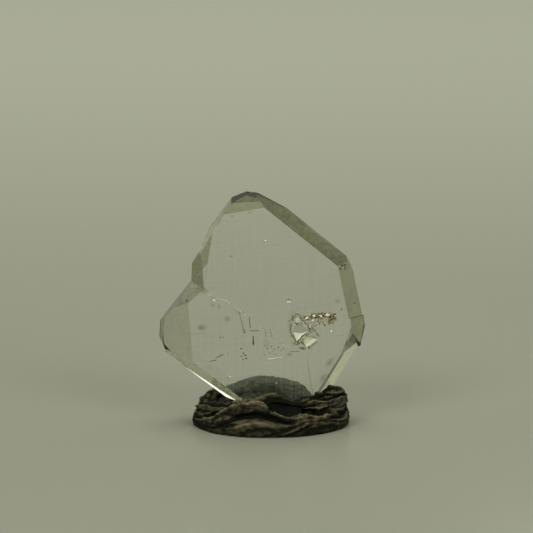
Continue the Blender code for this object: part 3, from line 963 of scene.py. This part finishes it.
# Hollows and swellings: (angle, reach, height), the half sizes of the three, push outwards.
PUTTY_DENTS = (
    ((6, 4.5, 2.6), (9, 1.0, 0.4), -0.45),
    ((22, 4.5, 2.4), (13, 1.2, 0.6), -0.85),
    ((40, 4.9, 2.3), (9, 1.1, 0.4), -0.60),
    ((18, 5.8, 2.0), (12, 0.8, 0.4), -0.30),
    ((-42, 5.2, 2.7), (12, 0.4, 0.7), -0.50),
    ((-23, 5.0, 3.0), (12, 0.4, 0.6), -0.60),
    ((-4, 4.9, 3.2), (9, 0.4, 0.5), -0.45),
    ((-63, 5.6, 2.6), (7, 1.2, 0.4), -0.60),
    ((52, 6.2, 2.45), (5, 1.5, 0.25), -0.40),
    ((70, 7.2, 0.55), (12, 1.5, 0.60), 0.12),
    ((-20, 7.4, 0.70), (16, 1.5, 0.50), 0.14),
)


def putty_material(settings):
    """Grey-brown putty: dark and dull, with painted shade in its folds and hollows, and painted light on its ridges
    and on surfaces that face up.
    """
    shader = Shader("grey_brown_putty")
    broad = shader.noise((1.6, 1.6, 0.7), 3.0, 0.6)
    grain = shader.noise((0.16, 0.16, 0.12), 3.0, 0.75)
    layers = shader.noise((1.2, 1.2, 0.13), 3.0, 0.6, 0.4)
    worn = shader.add("ShaderNodeAttribute", {"attribute_name": "worn"}, output="Fac")
    normal = shader.add("ShaderNodeNewGeometry", output="Normal")
    upward = shader.add("ShaderNodeSeparateXYZ", {}, {0: normal}, output="Z")
    # Painted light on surfaces that face up, as if lit from above.
    top_painted_light = shader.soft_step(upward, 0.1, 0.9)
    mottle = shader.ramp(broad * 0.35 + grain * 0.4 + layers * 0.25, (0.38, 0.0), (0.62, 1.0))
    # The painted light and shade, broken up by a random mottle.
    mask = (worn + top_painted_light * 0.22 * (worn * 5.0).lowest(1.0)) * (0.35 + 0.85 * mottle)
    colour = shader.blend(mask.lowest(1.0), settings.dark, settings.light)
    depth = shader.add("ShaderNodeSeparateXYZ", {}, {0: shader.place()}, output="Y")
    height = shader.add("ShaderNodeSeparateXYZ", {}, {0: shader.place()}, output="Z")
    facing = shader.add("ShaderNodeSeparateXYZ", {}, {0: normal}, output="Y")
    # The pressed film behind the crystal, with painted light that makes up for the shade there.
    pressed = shader.soft_step(depth, (BACK_Y - 0.2) * MM, (BACK_Y - 0.05) * MM)
    pressed = pressed * shader.soft_step(facing, 0.3, -0.1)
    pressed = pressed * shader.soft_step(height, 0.8 * MM, 1.6 * MM)
    wiped = shader.noise((0.16, 6.0, 6.0), 2.0, 0.6)
    colour = shader.blend(pressed * shader.ramp(wiped, (0.36, 0.6), (0.62, 1.0)), colour, settings.film_and_painted_light)
    relief = shader.bump(layers, 0.35, 0.05 * MM, shader.bump(grain, 0.55, 0.04 * MM))
    return shader.finish(
        Base_Color=colour, Roughness=0.86 - 0.16 * mottle, Normal=relief, Specular_IOR_Level=0.22,
    )


class QUARTZ_OT_putty(bpy.types.Operator):
    """Make the kneaded lump of putty"""

    bl_idname = "quartz.putty"
    bl_label = "Putty lump"

    def execute(self, context):
        settings = context.scene.quartz_putty
        bm = bmesh.new()
        core = bmesh.ops.create_icosphere(bm, subdivisions=4, radius=1.0)["verts"]
        shape = Matrix.Translation((*PUTTY_CENTRE, 0.6)) @ Matrix.Diagonal((6.6, 6.4, 2.0, 1.0))
        bmesh.ops.transform(bm, verts=core, matrix=shape)
        putty_roll(bm, PUTTY_BODY, closed=True)
        putty_roll(bm, PUTTY_MIDDLE)
        putty_roll(bm, PUTTY_COLLAR, closed=True)
        putty_roll(bm, PUTTY_FOLD)
        putty_roll(bm, PUTTY_PETAL, tilt=12.0)
        bmesh.ops.recalc_face_normals(bm, faces=bm.faces)
        lump = named_object("putty_lump", bm, putty_material(settings))
        fuse = lump.modifiers.new("fuse", "REMESH")
        fuse.mode = "VOXEL"
        fuse.voxel_size = settings.detail
        bake_modifiers(lump)
        self.crease(lump)
        self.stand(lump)
        self.press_crystal(lump)
        lump.data.shade_smooth()
        part_of(lump, "putty", replaced=True)
        return {"FINISHED"}

    def crease(self, lump):
        """Draws the folds, edges and hollows on the surface, makes it a little uneven, and paints light on its
        ridges and shade in its creases and hollows.
        """
        bm = bmesh.new()
        bm.from_mesh(lump.data)
        bmesh.ops.smooth_vert(bm, verts=bm.verts, factor=0.5, use_axis_x=True, use_axis_y=True, use_axis_z=True)
        bm.normal_update()
        worn = bm.verts.layers.float.new("worn")
        strokes = self.strokes_by_degree()
        moves = []
        for vert in bm.verts:
            place = vert.co / MM
            out = Vector((place.x - PUTTY_CENTRE[0], place.y - PUTTY_CENTRE[1]))
            turn = math.degrees(math.atan2(out.x, -out.y))
            reach = out.length
            warp = noise.noise(Vector((turn * 0.05, reach * 0.7, 3.0)))
            layer = noise.noise(Vector((turn * 0.035, reach * 0.9, place.z * 2.1 + warp * 1.4)))
            thin_layer = noise.noise(Vector((turn * 0.07 + 9.0, reach * 1.2, place.z * 4.2 + warp * 2.0)))
            coarse = noise.noise(place * 2.2)
            fine = noise.noise(place * 5.5)
            from_front = min(abs(turn + 8.0) / 55.0, 1.0)
            torn = 0.13 * max(1.0 - abs(layer) * 4.0, 0.0) + 0.06 * max(1.0 - abs(thin_layer) * 4.0, 0.0)
            torn *= 0.35 + 0.65 * from_front
            line = self.lines_at(strokes[round(turn) % 360], reach, place.z + 0.10 * coarse + 0.03 * fine)
            dent = self.dents_at(turn, reach, place.z)
            push = max(min(line, 0.28), -0.75) - torn + 0.05 * coarse + 0.035 * fine
            # Painted light and shade: lighter on the ridges and swellings, darker in the creases, layer gaps and
            # hollows.
            light = 0.15 + 3.0 * line - 1.6 * torn + 1.2 * dent + 0.25 * coarse
            # Painted light on the right side, more on its upper part.
            if 40.0 < turn < 100.0:
                light += 0.04
                if place.z > 1.8:
                    push += 0.10 * fine
                    light += 0.14 + 0.5 * fine
            # Darker towards the bottom.
            if place.z < 1.2:
                light -= 0.04
            moves.append(vert.normal * (push + dent) * MM)
            vert[worn] = min(max(light, 0.0), 1.0)
        low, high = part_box("putty")
        for vert, move in zip(bm.verts, moves):
            vert.co += move
            vert.co.x = min(max(vert.co.x, low[0]), high[0])
            vert.co.y = min(max(vert.co.y, low[1]), high[1])
        bmesh.ops.smooth_vert(bm, verts=bm.verts, factor=0.2, use_axis_x=True, use_axis_y=True, use_axis_z=True)
        bm.to_mesh(lump.data)
        bm.free()

    def strokes_by_degree(self):
        """For each whole degree around the putty, the lines that pass there: height, reaches, push, half width."""
        lines = [(points, (3.0, 9.0), push, half, 0.0) for points, push, half in PUTTY_CREASES]
        for points, reaches, side, depth, half in PUTTY_LIPS:
            lines.append((points, reaches, 0.42 * depth, half, 0.0))
            lines.append((points, reaches, -depth, half, side * 1.8 * half))
        table = [[] for _ in range(360)]
        for points, reaches, push, half, shift in lines:
            first, last = points[0][0], points[-1][0]
            for degree in range(first, last + 1):
                level = stations_at(points, degree, False)[0] + shift
                inside = min(min(degree - first, last - degree) / 6.0, 1.0)
                table[degree % 360].append((level, reaches, push * inside, half))
        return table

    def lines_at(self, strokes, reach, height):
        """How far the lines at this degree push the surface out."""
        total = 0.0
        for level, (near, far), push, half in strokes:
            away = (height - level) / half
            if abs(away) < 2.6 and near < reach < far:
                total += push * math.exp(-away * away)
        return total

    def dents_at(self, turn, reach, height):
        """How far the hollows and swellings push the surface out at a place."""
        total = 0.0
        for (angle, out, level), (wide, deep, high), push in PUTTY_DENTS:
            aside = (turn - angle + 180.0) % 360.0 - 180.0
            away = (aside / wide) ** 2 + ((reach - out) / deep) ** 2 + ((height - level) / high) ** 2
            if away < 9.0:
                total += push * math.exp(-away)
        return total

    def stand(self, lump):
        """Cuts the underside flat, where the putty is pressed onto the floor."""
        bm = bmesh.new()
        bm.from_mesh(lump.data)
        everything = bm.verts[:] + bm.edges[:] + bm.faces[:]
        bmesh.ops.bisect_plane(
            bm, geom=everything, dist=1e-8, plane_co=(0, 0, 0), plane_no=(0, 0, -1), clear_outer=True
        )
        bmesh.ops.holes_fill(bm, edges=[edge for edge in bm.edges if edge.is_boundary], sides=0)
        bm.to_mesh(lump.data)
        bm.free()

    def press_crystal(self, lump):
        """Presses the crystal's pocket into the putty, a hair wider than the crystal."""
        bm = crystal_copy()
        bmesh.ops.scale(bm, verts=bm.verts, vec=(1.0 / MM,) * 3)
        hair = Matrix.Translation((0.3, PLATE_MIDDLE_Y, 6.0)) @ Matrix.Diagonal((1.004, 1.012, 1.006, 1.0))
        hair = hair @ Matrix.Translation((-0.3, -PLATE_MIDDLE_Y, -6.0))
        bmesh.ops.transform(bm, verts=bm.verts, matrix=hair)
        subtract(lump, named_object("pocket", bm))


class QUARTZ_OT_studio(bpy.types.Operator):
    """Make the floor, the soft lights and the camera"""

    bl_idname = "quartz.studio"
    bl_label = "Studio"

    def execute(self, context):
        settings = context.scene.quartz_studio
        shader = Shader("studio_floor")
        # Painted light: the floor grows lighter away from the camera over the first 0.32 m, as if better lit there.
        away = shader.add("ShaderNodeSeparateXYZ", {}, {0: shader.place()}, output="Y")
        far = shader.soft_step(away, 0.0, 0.32)
        colour = shader.blend(far, settings.floor_colour, settings.floor_far_painted_light)
        material = shader.finish(Base_Color=colour, Roughness=0.28)
        bm = bmesh.new()
        bmesh.ops.create_grid(bm, x_segments=1, y_segments=1, size=3000.0)
        floor = named_object("studio_floor", bm, material)
        self.lamp("overhead", (0.0, 0.13, 0.60), (0.0, 0.10, 0.0), 0.46, 1.30)
        self.lamp("front_left", (-0.30, -0.45, 0.38), (0.0, 0.0, 0.01), 0.34, 1.30)
        self.lamp("front_right", (0.36, -0.42, 0.34), (0.0, 0.0, 0.01), 0.28, 0.75)
        self.lamp("left_panel", (-0.55, 0.48, 0.165), (0.0, 0.0, 0.01), 0.16, 0.030)
        self.lamp("small_card", (0.029, 0.033, 0.0396), (-0.0055, 0.0, 0.0035), 0.016, 0.0012)
        world = bpy.data.worlds.new("studio")
        world.use_nodes = True
        world.node_tree.nodes["Background"].inputs["Color"].default_value = (0.175, 0.18, 0.135, 1.0)
        world.node_tree.nodes["Background"].inputs["Strength"].default_value = 1.0
        context.scene.world = world
        context.scene.view_settings.view_transform = "Standard"
        self.camera(context, settings)
        return {"FINISHED"}

    def lamp(self, name, place, target, size, power):
        light = bpy.data.lights.new(name, "AREA")
        light.shape = "DISK"
        light.size = size
        light.energy = power
        light.color = (0.97, 1.0, 0.76)
        made = bpy.data.objects.new(name, light)
        made.location = place
        made.rotation_euler = (Vector(target) - Vector(place)).to_track_quat("-Z", "Y").to_euler()
        made.visible_camera = False
        bpy.context.scene.collection.objects.link(made)

    def camera(self, context, settings):
        aim = Vector((0.0, PLATE_MIDDLE_Y, 11.5)) * MM
        back = Vector((0.0, -math.cos(settings.elevation), math.sin(settings.elevation)))
        centre = Vector((0.42, PLATE_MIDDLE_Y, 15.79)) * MM
        lens = bpy.data.cameras.new("camera")
        lens.lens = settings.lens
        lens.clip_start = 0.01
        lens.clip_end = 20.0
        made = bpy.data.objects.new("camera", lens)
        made.location = aim + back * settings.distance
        made.rotation_euler = (centre - made.location).to_track_quat("-Z", "Y").to_euler()
        context.scene.collection.objects.link(made)
        context.scene.camera = made


class QUARTZ_PT_panel(bpy.types.Panel):
    """Lists the pieces and their settings"""

    bl_idname = "QUARTZ_PT_panel"
    bl_label = "Quartz twin"
    bl_space_type = "VIEW_3D"
    bl_region_type = "UI"
    bl_category = "Quartz"

    def draw(self, context):
        layout = self.layout
        scene = context.scene
        for settings in (scene.quartz, scene.quartz_putty, scene.quartz_studio):
            for name in settings.__annotations__:
                layout.prop(settings, name)
        for operator in (QUARTZ_OT_crystal, QUARTZ_OT_marks, QUARTZ_OT_putty, QUARTZ_OT_studio):
            layout.operator(operator.bl_idname)


CLASSES = (
    QuartzSettings,
    PuttySettings,
    StudioSettings,
    QUARTZ_OT_crystal,
    QUARTZ_OT_marks,
    QUARTZ_OT_putty,
    QUARTZ_OT_studio,
    QUARTZ_PT_panel,
)


def register():
    for cls in CLASSES:
        bpy.utils.register_class(cls)
    bpy.types.Scene.quartz = bpy.props.PointerProperty(type=QuartzSettings)
    bpy.types.Scene.quartz_putty = bpy.props.PointerProperty(type=PuttySettings)
    bpy.types.Scene.quartz_studio = bpy.props.PointerProperty(type=StudioSettings)


def unregister():
    del bpy.types.Scene.quartz_studio
    del bpy.types.Scene.quartz_putty
    del bpy.types.Scene.quartz
    for cls in reversed(CLASSES):
        bpy.utils.unregister_class(cls)


def main():
    register()
    bpy.ops.quartz.crystal()
    bpy.ops.quartz.marks()
    bpy.ops.quartz.putty()
    bpy.ops.quartz.studio()


if __name__ == "__main__":
    main()
